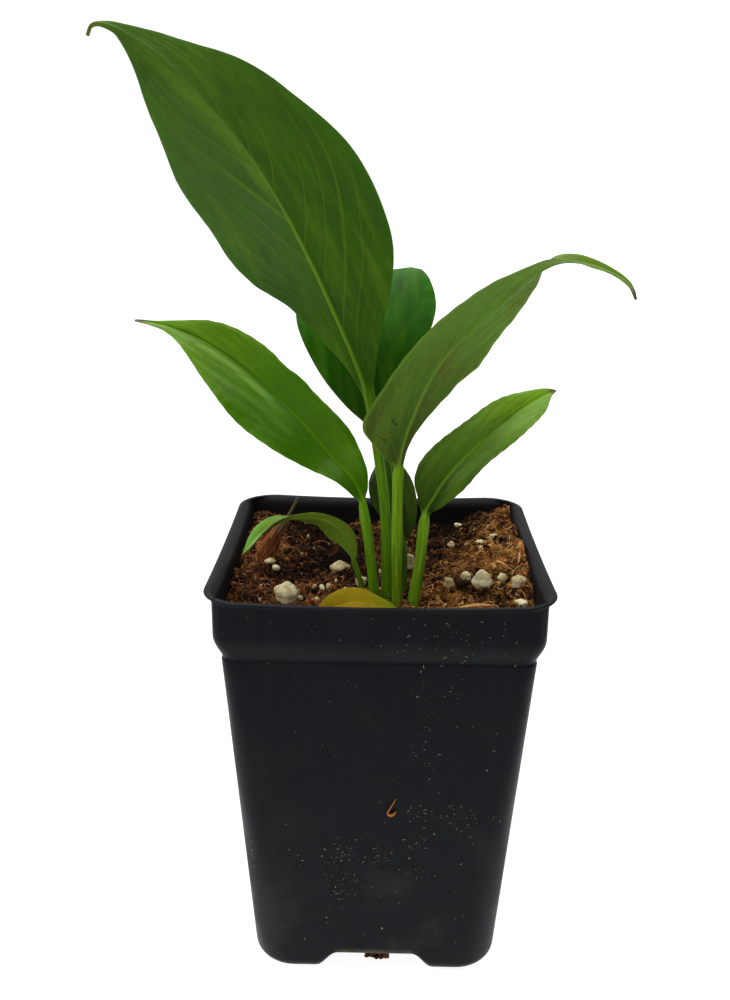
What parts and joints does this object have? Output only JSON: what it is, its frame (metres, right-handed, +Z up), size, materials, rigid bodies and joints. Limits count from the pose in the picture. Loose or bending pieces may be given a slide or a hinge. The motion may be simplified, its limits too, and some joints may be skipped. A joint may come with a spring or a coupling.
{
  "type": "potted peace lily",
  "caption": "Young peace lily with long pointed leaves on upright stems, growing from soil with white perlite in a square black nursery pot.",
  "frame": {"origin": "middle of the square pad under the pot, at the height of the ground", "axes": "+Z up, -Y toward the front that the picture shows, +X to the right as seen from the front"},
  "size_m": [0.1389, 0.1012, 0.2781],
  "materials": {
    "pot": "satin black nursery-pot plastic",
    "soil": "damp coir and peat, crumbly and fibrous",
    "leaf_dark": "living leaf, dark green, satin",
    "leaf_fresh": "living leaf, bright green, glossy",
    "leaf_pale": "living leaf seen from its paler underside, satin",
    "leaf_yellow": "yellowing leaf, matt",
    "dry_stalk": "dry brown fibre",
    "perlite": "matt white expanded perlite"
  },
  "bodies": {
    "root": {"pot": "pot", "soil": "soil", "leaf_tall": "leaf_dark", "leaf_left": "leaf_fresh", "leaf_right": "leaf_pale", "leaf_back": "leaf_dark", "leaf_low_right": "leaf_fresh", "leaf_small_left": "leaf_pale", "leaf_small_centre": "leaf_dark", "leaf_yellow": "leaf_yellow", "dry_stalk": "dry_stalk", "perlite_01": "perlite", "perlite_02": "perlite", "perlite_03": "perlite", "perlite_04": "perlite", "perlite_05": "perlite", "perlite_06": "perlite", "perlite_07": "perlite", "perlite_08": "perlite", "perlite_09": "perlite", "perlite_10": "perlite", "perlite_11": "perlite", "perlite_12": "perlite", "perlite_13": "perlite", "perlite_14": "perlite"}
  },
  "joints": []
}
